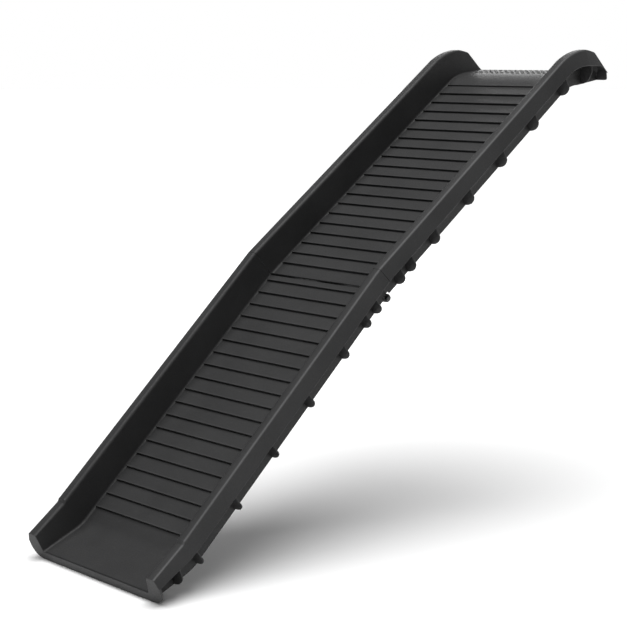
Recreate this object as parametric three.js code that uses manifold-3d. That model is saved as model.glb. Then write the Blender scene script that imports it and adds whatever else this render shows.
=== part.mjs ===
// Folding dog ramp, in millimetres, +Z up, shown leaning as it is used.
// Two moulded halves hinge on one steel rod under the deck and fold underside to underside.
// X runs across the ramp, Y runs up the slope on the ground plan.
// Each half is drawn in its own frame: local Y runs up its deck and local Z stands square to it.
import * as THREE from 'three';
import { mergeVertices } from 'three/addons/utils/BufferGeometryUtils.js';
import Module from 'manifold-3d';

// Slopes in the leaning pose, in degrees.
const FOOT_SLOPE = 21;
const LOWER_SLOPE = 41.3;
const UPPER_SLOPE = 34.9;
const LANDING_SLOPE = 8.4;

// Lengths along the deck.
const FOOT_LENGTH = 96;
const LOWER_LENGTH = 665;
const UPPER_LENGTH = 686;
const LANDING_LENGTH = 74;
const LANDING_BEND_RADIUS = 118;
const FOOT_BEND_RADIUS = 90;
const BEND_STEPS = 5;
const END_STATION = 24;

// Cross-section: the deck top is height 0.
const DECK_HALF_WIDTH = 160;
const DECK_THICKNESS = 4;
const WALL = 3.5;
const RAIL_HEIGHT = 62;
const RAIL_DRAFT = 8;
const RAIL_TOP_WIDTH = 22;
const SKIRT_HEIGHT = 32;
const SKIRT_LEAN = 9;
const SIDE_DEPTH = 16;
const CORNER_RADIUS = 6;

// Foot front and landing end. Over the landing the rails get lower and their skirts taller,
// and a slanted cut takes each rail down to the tip.
const FOOT_FRONT_RAIL = 36;
const LIP_DEPTH = 18;
const LIP_THICKNESS = 4;
const LIP_PROUD = 0.6;
const LIP_CORNER_RADIUS = 28;
const LANDING_DEPTH = 22;
const LANDING_RISE = 3;
const NOSE_START = 56;
const NOSE_RADIUS = 22;
const LANDING_CREST = 55.5;
const RAIL_END_START = 33;
const RAIL_END_HEIGHT = 45.5;
const RAIL_END_CURVE = 1.3;
const RAIL_TIP_HEIGHT = 5;
const LANDING_SKIRT_LOW = 20;
const TIP_SKIRT_LOW = 8;
const LEAN_FADE = 50;
const LEAN_LEFT = 0.25;
const LANDING_STEPS = 5;
const NOSE_STEPS = 4;
const TIP_WALL = 6;
const TIP_PLATE_INSET = 4;
const TIP_PLATE_RADIUS = 12;

// Treads: each slat's low edge stands up as a riser that faces downhill, and the slat falls uphill.
const TREAD_PITCH = 33.5;
const TREAD_RISE = 5;
const TREAD_NOSE = 1.2;
const TREAD_BACK = 0.2;
const TREAD_SIDE_GAP = 3;
const LOWER_FIRST_TREAD = 44;
const UPPER_FIRST_TREAD = 37;
const TREAD_ROOT = 2;

// Ribs under the deck and inside the rails.
const RIB_THICKNESS = 2.5;
const CROSS_RIB_DEPTH = 15.2;
const LONG_RIB_DEPTH = 14.4;
const END_WALL_DEPTH = 15.6;
const LONG_RIB_SPACING = 53;
const LONG_RIBS_EACH_SIDE = 2;
const RAIL_PLATE_RADIUS = 34;
const RAIL_PLATE_DEPTH = 15.7;
const LOWER_RIBS = { first: 45, second: 83, start: 163, pitch: 122.3 };
const UPPER_RIBS = { first: 39.5, second: 78, start: 163.5, pitch: 126 };
const FOOT_RIB_FROM_BEND = 26;
const LANDING_RIB_FROM_BEND = 14;

// Hinge.
const JOINT_GAP = 0.8;
const DECK_GAP = 8;
const PIN_DEPTH = 20;
const ROD_RADIUS = 3;
const ROD_PROUD = 2.5;
const BORE_CLEARANCE = 0.4;
const KNUCKLE_RADIUS = 8.5;
const KNUCKLE_CLEARANCE = 1;
const KNUCKLE_GAP = 1;
const KNUCKLE_WIDTH = 21;
const OUTER_KNUCKLE_WIDTH = 13.5;
const CAP_RADIUS = 5.8;
const CAP_END = 2;
const CAP_FIT = 0.4;
const ROUND_SEGMENTS = 20;
const SMALL_ROUND_SEGMENTS = 12;

// Rubber grip pads and their screws.
const PAD_THICKNESS = 4;
const PAD_SINK = 2;
const PAD_GAP = 0.4;
const SEAT_THICKNESS = 3;
const SEAT_MARGIN = 4;
const FOOT_PAD = { length: 90, width: 18, across: 95, along: 22 };
const LANDING_PAD = { length: 110, width: 24, across: 88, along: 46 };
const SCREW_INSET = 12;
const SCREW_HEAD_RADIUS = 3.4;
const SCREW_HEAD_HEIGHT = 1.6;
const SCREW_SHANK_RADIUS = 1.5;
const SCREW_LENGTH = 9;
const SCREW_CLEARANCE = 0.4;
const COUNTERBORE_DEPTH = 2.4;

const radians = THREE.MathUtils.degToRad;
const halfCrown = radians((LOWER_SLOPE - UPPER_SLOPE) / 2);
const footBend = radians(LOWER_SLOPE - FOOT_SLOPE);
const landingBend = radians(UPPER_SLOPE - LANDING_SLOPE);
const lowerStraight = LOWER_LENGTH - FOOT_BEND_RADIUS * Math.tan(footBend / 2);
const footArc = FOOT_BEND_RADIUS * footBend;
const lowerEnd = lowerStraight + footArc + FOOT_LENGTH - FOOT_BEND_RADIUS * Math.tan(footBend / 2);
const landingStart = UPPER_LENGTH + LANDING_BEND_RADIUS * landingBend;
const upperEnd = landingStart + LANDING_LENGTH;
const railInner = DECK_HALF_WIDTH + RAIL_DRAFT;
const railOuter = railInner + RAIL_TOP_WIDTH;
const skirtEdge = railOuter + SKIRT_LEAN;
const skirtLow = RAIL_HEIGHT - SKIRT_HEIGHT;
const treadHalfWidth = DECK_HALF_WIDTH - TREAD_SIDE_GAP;
const lowerTreads = Math.floor((LOWER_LENGTH - LOWER_FIRST_TREAD - DECK_GAP / 2) / TREAD_PITCH) + 1;
const upperTreads = Math.floor((UPPER_LENGTH - UPPER_FIRST_TREAD) / TREAD_PITCH);
const outerKnuckleEnd = DECK_HALF_WIDTH + WALL;
const rodEnd = outerKnuckleEnd + ROD_PROUD;

const wasm = await Module();
wasm.setup();

// ---- Solids: three.js geometry in, booleans, three.js geometry out ----

function toSolid(source) {
  const bare = source.clone();
  bare.deleteAttribute('normal');
  bare.deleteAttribute('uv');
  const merged = mergeVertices(bare, 1e-4);
  const mesh = new wasm.Mesh({
    numProp: 3,
    vertProperties: new Float32Array(merged.attributes.position.array),
    triVerts: new Uint32Array(merged.index.array),
  });
  return new wasm.Manifold(mesh);
}

function toGeometry(solid) {
  const mesh = solid.getMesh();
  const geometry = new THREE.BufferGeometry();
  geometry.setAttribute('position', new THREE.BufferAttribute(mesh.vertProperties, 3));
  geometry.setIndex(new THREE.BufferAttribute(mesh.triVerts, 1));
  geometry.computeVertexNormals();
  return geometry;
}

function joined(geometries) {
  return geometries.map(toSolid).reduce((whole, next) => whole.add(next));
}

function shapeOf(points) {
  return new THREE.Shape(points.map(([x, y]) => new THREE.Vector2(x, y)));
}

// A polygon with its mirror image across x = 0, listed as one closed outline.
function mirrored(half) {
  const left = half.slice().reverse().map(([x, y]) => [-x, y]);
  return shapeOf(half.concat(left));
}

// ---- The two deck lines ----

// A point on a bent deck line: straight for `straight`, then an arc, then straight again.
// `run` is the distance from the joint and `sign` is +1 uphill or -1 downhill.
function bentLine(run, straight, radius, bend, sign) {
  const past = Math.max(run - straight, 0);
  const angle = Math.min(past / radius, bend);
  const beyond = Math.max(past - radius * bend, 0);
  const along = Math.min(run, straight) + radius * Math.sin(angle) + beyond * Math.cos(bend);
  const across = radius * (1 - Math.cos(angle)) + beyond * Math.sin(bend);
  return { y: sign * along, z: -sign * across, angle };
}

function onLine(line, x, height) {
  return [x, line.y + height * Math.sin(line.angle), line.z + height * Math.cos(line.angle)];
}

// Lower half: the rails get lower from the bend to the front edge of the foot.
function placeLower(x, height, run) {
  const line = bentLine(run, lowerStraight, FOOT_BEND_RADIUS, footBend, -1);
  const fromFront = Math.min(lowerEnd - run, FOOT_LENGTH) / FOOT_LENGTH;
  const share = THREE.MathUtils.lerp(FOOT_FRONT_RAIL / RAIL_HEIGHT, 1, fromFront);
  const [px, py, pz] = onLine(line, x, height > 0 ? height * share : height);
  return [px, py + (run === 0 ? height * Math.tan(halfCrown) - JOINT_GAP / 2 : 0), pz];
}

// How far the rounded nose of the landing falls below its straight part.
function noseDrop(past) {
  const over = Math.max(past - NOSE_START, 0);
  return NOSE_RADIUS - Math.sqrt(NOSE_RADIUS ** 2 - over ** 2);
}

// Heights of the rail top and of the skirt's low edge over the landing line. `bent` is the share of
// the bend passed, and `past` is the distance beyond it.
function landingRail(bent, past) {
  const lerp = THREE.MathUtils.lerp;
  const rounded = Math.min(past / RAIL_END_START, 1) ** RAIL_END_CURVE;
  const tip = RAIL_TIP_HEIGHT - noseDrop(LANDING_LENGTH);
  const cut = Math.max(past - RAIL_END_START, 0) / (LANDING_LENGTH - RAIL_END_START);
  const crest = lerp(lerp(lerp(RAIL_HEIGHT, LANDING_CREST, bent), RAIL_END_HEIGHT, rounded), tip, cut);
  const skirt = lerp(lerp(skirtLow, LANDING_SKIRT_LOW, bent), TIP_SKIRT_LOW, past / LANDING_LENGTH);
  const highest = lerp(-noseDrop(past), crest, skirtLow / RAIL_HEIGHT);
  return { crest, skirt: Math.min(skirt, highest) };
}

// Upper half: past the bend the rails run down to the tip and the underside stays flat.
function placeUpper(x, height, run) {
  const lerp = THREE.MathUtils.lerp;
  const line = bentLine(run, UPPER_LENGTH, LANDING_BEND_RADIUS, landingBend, 1);
  const past = Math.max(run - landingStart, 0);
  const bent = Math.min(line.angle / landingBend, 1);
  const drop = noseDrop(past);
  const rail = landingRail(bent, past);
  const depth = lerp(SIDE_DEPTH, LANDING_DEPTH, bent);
  let placed = (height * (depth - drop)) / SIDE_DEPTH - drop;
  if (height > 0) placed = lerp(-drop, rail.skirt, height / skirtLow);
  if (height > skirtLow) placed = lerp(rail.skirt, rail.crest, (height - skirtLow) / SKIRT_HEIGHT);
  const lean = Math.max(Math.abs(x) - railOuter, 0) * (1 - LEAN_LEFT) * Math.min(past / LEAN_FADE, 1);
  const [px, py, pz] = onLine(line, x - Math.sign(x) * lean, placed);
  return [px, py - (run === 0 ? height * Math.tan(halfCrown) - JOINT_GAP / 2 : 0), pz];
}

function stationsBetween(from, to, steps) {
  return Array.from({ length: steps + 1 }, (_, i) => THREE.MathUtils.lerp(from, to, i / steps));
}

function lowerStations() {
  const bend = stationsBetween(lowerStraight, lowerStraight + footArc, BEND_STEPS);
  return [0, END_STATION, ...bend, lowerEnd - END_STATION, lowerEnd];
}

function upperStations() {
  const bend = stationsBetween(UPPER_LENGTH, landingStart, BEND_STEPS);
  const flat = stationsBetween(landingStart, landingStart + NOSE_START, LANDING_STEPS).slice(1);
  const nose = stationsBetween(landingStart + NOSE_START, upperEnd, NOSE_STEPS).slice(1);
  return [0, END_STATION, ...bend, ...flat, ...nose];
}

// Carries a cross-section along a deck line. Extruding one unit per station keeps the ends closed.
// The section keeps its handedness uphill and is turned round on the downhill line.
function carried(shape, stations, half) {
  const last = stations.length - 1;
  const geometry = new THREE.ExtrudeGeometry(shape, { depth: last, steps: last, bevelEnabled: false });
  const position = geometry.attributes.position;
  for (let i = 0; i < position.count; i += 1) {
    const step = Math.round(position.getZ(i));
    const run = stations[half.downhill ? step : last - step];
    position.setXYZ(i, ...half.place(position.getX(i), position.getY(i), run));
  }
  return geometry;
}

const lowerHalf = { place: placeLower, downhill: true };
const upperHalf = { place: placeUpper, downhill: false };

// ---- Cross-sections ----

// Right half of the shell: deck, inner wall, rail top and outer skirt, then back underneath.
function shellOutline() {
  const top = RAIL_HEIGHT;
  return mirrored([
    [DECK_HALF_WIDTH - CORNER_RADIUS, 0],
    [DECK_HALF_WIDTH - CORNER_RADIUS * 0.3, CORNER_RADIUS * 0.3],
    [DECK_HALF_WIDTH + 0.8, CORNER_RADIUS],
    [railInner - 0.6, top - CORNER_RADIUS * 1.2],
    [railInner + CORNER_RADIUS * 0.3, top - CORNER_RADIUS * 0.5],
    [railInner + CORNER_RADIUS, top - 0.4],
    [railOuter - CORNER_RADIUS, top],
    [railOuter - CORNER_RADIUS * 0.25, top - CORNER_RADIUS * 0.35],
    [railOuter + 0.6, top - CORNER_RADIUS],
    [skirtEdge, skirtLow],
    [skirtEdge - WALL, skirtLow],
    [railOuter - WALL, top - CORNER_RADIUS - WALL * 0.4],
    [railOuter - WALL - CORNER_RADIUS * 0.4, top - WALL],
    [railInner + WALL + CORNER_RADIUS * 0.3, top - WALL],
    [railInner + WALL - 0.6, top - CORNER_RADIUS * 1.4],
    [DECK_HALF_WIDTH + WALL, 0],
    [DECK_HALF_WIDTH + WALL * 0.8, -SIDE_DEPTH],
    [DECK_HALF_WIDTH - WALL * 0.2, -SIDE_DEPTH],
    [DECK_HALF_WIDTH, -DECK_THICKNESS],
  ]);
}

// A plate that fills a rail from its inner wall to its skirt, round at its lower outer corner.
function railPlate(side, radius) {
  const outer = skirtEdge - WALL - 0.5;
  const round = { x: skirtEdge - 2 - radius, height: radius - RAIL_PLATE_DEPTH };
  const outline = [[side * (DECK_HALF_WIDTH + WALL + 4), RAIL_HEIGHT - WALL - 4]];
  outline.push([side * (DECK_HALF_WIDTH + WALL / 2), -RAIL_PLATE_DEPTH]);
  for (let turn = 0; turn <= 70; turn += 10) {
    const x = Math.min(round.x + radius * Math.sin(radians(turn)), outer);
    outline.push([side * x, round.height - radius * Math.cos(radians(turn))]);
  }
  outline.push([side * outer, skirtLow + 3]);
  outline.push([side * (railOuter - WALL - 1), RAIL_HEIGHT - WALL - 4]);
  return shapeOf(outline);
}

function band(halfWidth, low, high) {
  return mirrored([[halfWidth, low], [halfWidth, high]]);
}

// Front flange of the foot: a U-shaped plate that closes both rail ends, round at its lower corners.
function lipOutline() {
  const corner = [];
  for (let turn = 90; turn >= 0; turn -= 15) {
    const x = skirtEdge - 3 - LIP_CORNER_RADIUS + LIP_CORNER_RADIUS * Math.cos(radians(turn));
    corner.push([x, LIP_CORNER_RADIUS - LIP_DEPTH - LIP_CORNER_RADIUS * Math.sin(radians(turn))]);
  }
  return mirrored([
    [DECK_HALF_WIDTH - CORNER_RADIUS, 0],
    [DECK_HALF_WIDTH, CORNER_RADIUS],
    [railInner, RAIL_HEIGHT - CORNER_RADIUS],
    [railInner + CORNER_RADIUS, RAIL_HEIGHT - 0.5],
    [railOuter - CORNER_RADIUS, RAIL_HEIGHT - 0.5],
    [railOuter, RAIL_HEIGHT - CORNER_RADIUS],
    [skirtEdge - 0.5, skirtLow],
    ...corner.reverse(),
  ]);
}

// ---- Ribs and treads ----

// Distances of the cross ribs from the joint: as many as the straight deck takes, and one more.
function ribRuns(pattern, length, extra) {
  const count = Math.floor((length - pattern.start) / pattern.pitch) + 1;
  const regular = Array.from({ length: count }, (_, i) => pattern.start + i * pattern.pitch);
  return [pattern.first, pattern.second, ...regular, extra];
}

function plateAt(shape, run, half) {
  return carried(shape, [run - RIB_THICKNESS / 2, run + RIB_THICKNESS / 2], half);
}

// Each cross rib runs under the deck and ends in a round-cornered plate in each rail.
function crossRibs(runs, half) {
  return runs.flatMap((run) => [
    plateAt(band(DECK_HALF_WIDTH + 1, -CROSS_RIB_DEPTH, -1), run, half),
    plateAt(railPlate(-1, RAIL_PLATE_RADIUS), run, half),
    plateAt(railPlate(1, RAIL_PLATE_RADIUS), run, half),
  ]);
}

function longRibs(stations, half) {
  const ribs = [];
  const inset = DECK_GAP / 2 + RIB_THICKNESS / 2;
  const shortened = [inset, ...stations.slice(1, -1), stations.at(-1) - RIB_THICKNESS];
  for (let i = -LONG_RIBS_EACH_SIDE; i <= LONG_RIBS_EACH_SIDE; i += 1) {
    const middle = i * LONG_RIB_SPACING;
    const left = middle - RIB_THICKNESS / 2;
    const right = middle + RIB_THICKNESS / 2;
    const low = -LONG_RIB_DEPTH;
    const outline = [[left, low], [right, low], [right, -1.5], [left, -1.5]];
    ribs.push(carried(shapeOf(outline), shortened, half));
  }
  return ribs;
}

// All the slats of one half as one saw-toothed outline, drawn uphill and carried across the deck.
// The last slat keeps its slope and stops at `end`, where its underside runs on into the deck.
function treads(firstRiser, count, end) {
  const outline = [[firstRiser, -TREAD_ROOT]];
  for (let i = 0; i < count; i += 1) {
    const riser = firstRiser + i * TREAD_PITCH;
    const back = Math.min(riser + TREAD_PITCH, end);
    const fallen = (back - riser) / TREAD_PITCH;
    outline.push([riser, TREAD_RISE - TREAD_NOSE], [riser + TREAD_NOSE, TREAD_RISE]);
    outline.push([back, THREE.MathUtils.lerp(TREAD_RISE, TREAD_BACK, fallen)]);
  }
  outline.push([end + TREAD_ROOT, -TREAD_ROOT]);
  const geometry = new THREE.ExtrudeGeometry(shapeOf(outline), {
    depth: 2 * treadHalfWidth, steps: 1, bevelEnabled: false,
  });
  const position = geometry.attributes.position;
  for (let i = 0; i < position.count; i += 1) {
    const [run, height, across] = [position.getX(i), position.getY(i), position.getZ(i)];
    position.setXYZ(i, across - treadHalfWidth, run, height);
  }
  return geometry;
}

// ---- Hinge ----

// A round bar along X, centred on a point of the local frame.
function barAlongX(radius, from, to, y, z) {
  const bar = new THREE.CylinderGeometry(radius, radius, to - from, ROUND_SEGMENTS);
  bar.rotateZ(Math.PI / 2);
  bar.translate((from + to) / 2, y, z);
  return bar;
}

function blockBetween(low, high) {
  const block = new THREE.BoxGeometry(high[0] - low[0], high[1] - low[1], high[2] - low[2]);
  block.translate((low[0] + high[0]) / 2, (low[1] + high[1]) / 2, (low[2] + high[2]) / 2);
  return block;
}

// The knuckles interleave across the ramp: an outer and an inner one of the lower half on each side,
// with one of the upper half between them, and the same again in the middle.
function knuckleSpans() {
  const lower = [];
  const upper = [];
  const pitch = KNUCKLE_WIDTH + KNUCKLE_GAP;
  const outer = outerKnuckleEnd - OUTER_KNUCKLE_WIDTH;
  for (const side of [-1, 1]) {
    const spans = [
      [outer, outerKnuckleEnd],
      [outer - 2 * pitch, outer - 2 * pitch + KNUCKLE_WIDTH],
      [KNUCKLE_WIDTH / 2 + KNUCKLE_GAP, KNUCKLE_WIDTH * 1.5 + KNUCKLE_GAP],
    ];
    lower.push(...spans.map((span) => span.map((x) => side * x).sort((a, b) => a - b)));
    const between = [outer - pitch, outer - pitch + KNUCKLE_WIDTH];
    upper.push(between.map((x) => side * x).sort((a, b) => a - b));
  }
  upper.push([-KNUCKLE_WIDTH / 2, KNUCKLE_WIDTH / 2]);
  return { lower, upper };
}

// The rod's centre in a half's own frame. `sign` is +1 for the upper half and -1 for the lower one.
function pinPlace(sign) {
  return { y: sign * PIN_DEPTH * Math.tan(halfCrown), z: -PIN_DEPTH };
}

// Round knuckles on one half, each with a block that ties it to the wall at the deck's end.
function knuckles(spans, sign) {
  const pin = pinPlace(sign);
  const wallEdge = sign * (DECK_GAP / 2 + WALL);
  const inner = sign * JOINT_GAP;
  return spans.flatMap(([from, to]) => [
    barAlongX(KNUCKLE_RADIUS, from, to, pin.y, pin.z),
    blockBetween(
      [from, Math.min(inner, wallEdge), -PIN_DEPTH],
      [to, Math.max(inner, wallEdge), -DECK_THICKNESS / 2],
    ),
  ]);
}

// What the hinge takes out of a half: room for the other half's knuckles, the rod and the deck gap.
function hingeCuts(otherSpans, sign) {
  const pin = pinPlace(sign);
  const room = otherSpans.map(([from, to]) =>
    barAlongX(KNUCKLE_RADIUS + KNUCKLE_CLEARANCE, from - KNUCKLE_GAP, to + KNUCKLE_GAP, pin.y, pin.z));
  const slotEnd = sign * DECK_GAP / 2;
  const slotStart = -sign * DECK_GAP / 2;
  const slot = blockBetween(
    [-DECK_HALF_WIDTH + 1, Math.min(slotStart, slotEnd), -DECK_THICKNESS - 1],
    [DECK_HALF_WIDTH - 1, Math.max(slotStart, slotEnd), CORNER_RADIUS],
  );
  return { room, slot, bore: rodBore(pin) };
}

function rodBore(pin) {
  return barAlongX(ROD_RADIUS + BORE_CLEARANCE, -skirtEdge, skirtEdge, pin.y, pin.z);
}

function endWall(half) {
  const shape = band(DECK_HALF_WIDTH + 1, -END_WALL_DEPTH, -0.5);
  return carried(shape, [DECK_GAP / 2, DECK_GAP / 2 + WALL], half);
}

// Takes the hinge's room out of a half, then adds the half's own knuckles and bores them.
function withHinge(body, ownSpans, otherSpans, sign) {
  const cuts = hingeCuts(otherSpans, sign);
  const opened = [...cuts.room, cuts.slot].reduce((rest, cut) => rest.subtract(toSolid(cut)), body);
  return opened.add(joined(knuckles(ownSpans, sign))).subtract(toSolid(cuts.bore));
}

function rodGeometry() {
  const pin = pinPlace(1);
  return barAlongX(ROD_RADIUS, -rodEnd, rodEnd, pin.y, pin.z);
}

// A push-on cap: a round shell turned about the rod's axis, open on the side that takes the rod.
function capGeometry(side) {
  const bore = ROD_RADIUS + BORE_CLEARANCE;
  const mouth = outerKnuckleEnd + CAP_FIT;
  const floor = rodEnd + CAP_FIT;
  const tip = floor + CAP_END;
  const outline = [
    [0, floor], [bore, floor], [bore, mouth], [CAP_RADIUS, mouth],
    [CAP_RADIUS, tip - 1.5], [CAP_RADIUS - 1.5, tip - 0.4], [0, tip], [0, floor],
  ];
  const cap = new THREE.LatheGeometry(outline.map(([r, h]) => new THREE.Vector2(r, h)), ROUND_SEGMENTS);
  const pin = pinPlace(1);
  cap.rotateZ(-side * Math.PI / 2);
  cap.translate(0, pin.y, pin.z);
  return cap;
}

// ---- Pads, their seats and screws ----

// A pad's four sides in the section plane, at a depth below the deck.
function padSection(side, pad, grow, low, high) {
  const middle = side * pad.across;
  const half = pad.length / 2 + grow;
  return shapeOf([[middle - half, low], [middle + half, low], [middle + half, high], [middle - half, high]]);
}

function padStations(run, pad, grow) {
  return [run - pad.width / 2 - grow, run + pad.width / 2 + grow];
}

// Places screw-axis geometry drawn along +Z at a point under the deck of a half.
function underDeck(geometry, half, x, depth, run) {
  const line = half.downhill
    ? bentLine(run, lowerStraight, FOOT_BEND_RADIUS, footBend, -1)
    : bentLine(run, UPPER_LENGTH, LANDING_BEND_RADIUS, landingBend, 1);
  geometry.rotateX(-line.angle);
  geometry.translate(...onLine(line, x, -depth));
  return geometry;
}

function turned(points) {
  const lathe = new THREE.LatheGeometry(points.map(([r, h]) => new THREE.Vector2(r, h)), SMALL_ROUND_SEGMENTS);
  lathe.rotateX(Math.PI / 2);
  return lathe;
}

function screwPlaces(side, pad) {
  return [-1, 1].map((end) => side * pad.across + end * (pad.length / 2 - SCREW_INSET));
}

// A shank and head drawn upwards from the head's underside face, at height 0.
function screwOutline(grow, headHeight, length) {
  const head = SCREW_HEAD_RADIUS + grow;
  const shank = SCREW_SHANK_RADIUS + grow;
  return [[0, 0], [head, 0], [head, headHeight], [shank, headHeight], [shank, length], [0, length], [0, 0]];
}

// A square-edged flat plate that a pad sits on, let into the ribs.
function padSeat(side, pad, run, face, half) {
  const shape = padSection(side, pad, SEAT_MARGIN, -face - 0.4, -face + SEAT_THICKNESS + PAD_SINK);
  return carriedFlat(shape, padStations(run, pad, SEAT_MARGIN), half);
}

// Carries a section between two stations at its true size, without the rail and nose scaling.
function carriedFlat(shape, stations, half) {
  const middle = (stations[0] + stations[1]) / 2;
  const geometry = new THREE.ExtrudeGeometry(shape, {
    depth: stations[1] - stations[0], steps: 1, bevelEnabled: false,
  });
  geometry.translate(0, 0, -(stations[1] - stations[0]) / 2);
  geometry.rotateX(Math.PI / 2);
  return underDeck(geometry, half, 0, 0, middle);
}

function padPocket(side, pad, run, face, half) {
  const shape = padSection(side, pad, PAD_GAP, -face - 1, -face + PAD_SINK);
  return carriedFlat(shape, padStations(run, pad, PAD_GAP), half);
}

function screwHoles(side, pad, run, face, half) {
  return screwPlaces(side, pad).map((x) => {
    const hole = turned([[0, -2], [SCREW_SHANK_RADIUS + SCREW_CLEARANCE, -2],
      [SCREW_SHANK_RADIUS + SCREW_CLEARANCE, SCREW_LENGTH], [0, SCREW_LENGTH], [0, -2]]);
    return underDeck(hole, half, x, face, run);
  });
}

function padSolid(side, pad, run, face, half) {
  const top = -face + PAD_SINK - PAD_GAP;
  const shape = padSection(side, pad, 0, top - PAD_THICKNESS, top);
  let solid = toSolid(carriedFlat(shape, padStations(run, pad, 0), half));
  for (const x of screwPlaces(side, pad)) {
    const outline = screwOutline(SCREW_CLEARANCE, COUNTERBORE_DEPTH, SCREW_LENGTH);
    const bottom = -top + PAD_THICKNESS;
    outline[0][1] = outline[1][1] = outline.at(-1)[1] = -1;
    solid = solid.subtract(toSolid(underDeck(turned(outline), half, x, bottom, run)));
  }
  return solid;
}

function screwGeometry(x, run, face, half) {
  const bottom = face - PAD_SINK + PAD_GAP + PAD_THICKNESS;
  const headFace = bottom - COUNTERBORE_DEPTH + SCREW_HEAD_HEIGHT + SCREW_CLEARANCE;
  const outline = screwOutline(0, SCREW_HEAD_HEIGHT, SCREW_LENGTH);
  return underDeck(turned(outline), half, x, headFace, run);
}

// ---- The two halves ----

const footPadRun = lowerEnd - FOOT_PAD.along;
const landingPadRun = landingStart + LANDING_PAD.along;

function withPadSeats(body, pad, run, face, half) {
  let seated = body;
  for (const side of [-1, 1]) {
    seated = seated.add(toSolid(padSeat(side, pad, run, face, half)));
  }
  for (const side of [-1, 1]) {
    seated = seated.subtract(toSolid(padPocket(side, pad, run, face, half)));
    for (const hole of screwHoles(side, pad, run, face, half)) {
      seated = seated.subtract(toSolid(hole));
    }
  }
  return seated;
}

function lowerPanel(spans) {
  const stations = lowerStations();
  const firstRiser = -LOWER_LENGTH + LOWER_FIRST_TREAD;
  const footRib = lowerStraight + footArc + FOOT_RIB_FROM_BEND;
  const body = joined([
    carried(shellOutline(), stations, lowerHalf),
    ...longRibs(stations, lowerHalf),
    ...crossRibs(ribRuns(LOWER_RIBS, LOWER_LENGTH, footRib), lowerHalf),
    endWall(lowerHalf),
    treads(firstRiser, lowerTreads, 1 - DECK_GAP / 2),
    carried(lipOutline(), [lowerEnd - LIP_THICKNESS, lowerEnd + LIP_PROUD], lowerHalf),
  ]);
  const seated = withPadSeats(body, FOOT_PAD, footPadRun, SIDE_DEPTH, lowerHalf);
  return withHinge(seated, spans.lower, spans.upper, -1);
}

function upperPanel(spans) {
  const stations = upperStations();
  const slabStart = UPPER_FIRST_TREAD + upperTreads * TREAD_PITCH;
  const slabStations = [slabStart, ...stations.filter((run) => run > slabStart).slice(0, -1), upperEnd - 1];
  const tipStations = [upperEnd - TIP_WALL, upperEnd - 0.5];
  const body = joined([
    carried(shellOutline(), stations, upperHalf),
    ...longRibs(stations, upperHalf),
    ...crossRibs(ribRuns(UPPER_RIBS, UPPER_LENGTH, landingStart + LANDING_RIB_FROM_BEND), upperHalf),
    endWall(upperHalf),
    treads(UPPER_FIRST_TREAD, upperTreads, slabStart),
    carried(band(treadHalfWidth - 0.5, -TREAD_ROOT, LANDING_RISE), slabStations, upperHalf),
    carried(band(DECK_HALF_WIDTH + 1, 0.8 - SIDE_DEPTH, -0.5), tipStations, upperHalf),
    plateAt(railPlate(-1, TIP_PLATE_RADIUS), upperEnd - TIP_PLATE_INSET, upperHalf),
    plateAt(railPlate(1, TIP_PLATE_RADIUS), upperEnd - TIP_PLATE_INSET, upperHalf),
  ]);
  const seated = withPadSeats(body, LANDING_PAD, landingPadRun, LANDING_DEPTH, upperHalf);
  return withHinge(seated, spans.upper, spans.lower, 1);
}

// ---- Assembly ----

const plastic = { color: 0x202123, roughness: 0.62, metalness: 0 };
const rubber = { color: 0x151515, roughness: 0.9, metalness: 0 };
const steel = { color: 0x9a9da1, roughness: 0.35, metalness: 1 };
const capPlastic = { color: 0x2c2d2f, roughness: 0.5, metalness: 0 };

function addPiece(group, name, geometry, look) {
  const mesh = new THREE.Mesh(geometry, new THREE.MeshStandardMaterial(look));
  mesh.name = name;
  group.add(mesh);
}

function addPads(group, name, pad, run, face, half) {
  for (const [side, label] of [[-1, 'left'], [1, 'right']]) {
    addPiece(group, `${name}_pad_${label}`, toGeometry(padSolid(side, pad, run, face, half)), rubber);
    screwPlaces(side, pad).forEach((x, i) => {
      const screw = screwGeometry(x, run, face, half);
      addPiece(group, `${name}_pad_screw_${label}_${i + 1}`, screw, steel);
    });
  }
}

function halfGroup(slope) {
  const group = new THREE.Group();
  group.rotation.x = radians(slope);
  return group;
}

const spans = knuckleSpans();
const lower = halfGroup(LOWER_SLOPE);
addPiece(lower, 'lower_panel', toGeometry(lowerPanel(spans)), plastic);
addPads(lower, 'foot', FOOT_PAD, footPadRun, SIDE_DEPTH, lowerHalf);

const upper = halfGroup(UPPER_SLOPE);
addPiece(upper, 'upper_panel', toGeometry(upperPanel(spans)), plastic);
addPiece(upper, 'hinge_rod', rodGeometry(), steel);
addPiece(upper, 'rod_cap_left', capGeometry(-1), capPlastic);
addPiece(upper, 'rod_cap_right', capGeometry(1), capPlastic);
addPads(upper, 'landing', LANDING_PAD, landingPadRun, LANDING_DEPTH, upperHalf);

// The ramp stands on the floor, with its origin under the middle of its outline.
const ramp = new THREE.Group();
ramp.add(lower, upper);
ramp.updateMatrixWorld(true);
const extent = new THREE.Box3().setFromObject(ramp, true);
ramp.position.set(0, -(extent.min.y + extent.max.y) / 2, -extent.min.z);

export default ramp;
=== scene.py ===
"""Looks of the folding dog ramp: rounded mouldings, slats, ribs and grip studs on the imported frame.

Shapes are worked out in millimetres. `run` is the distance along the deck from the joint, and
`height` stands square to the deck. Each moulding is placed by the same two deck lines as the frame.
"""

import math
from collections import namedtuple

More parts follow.
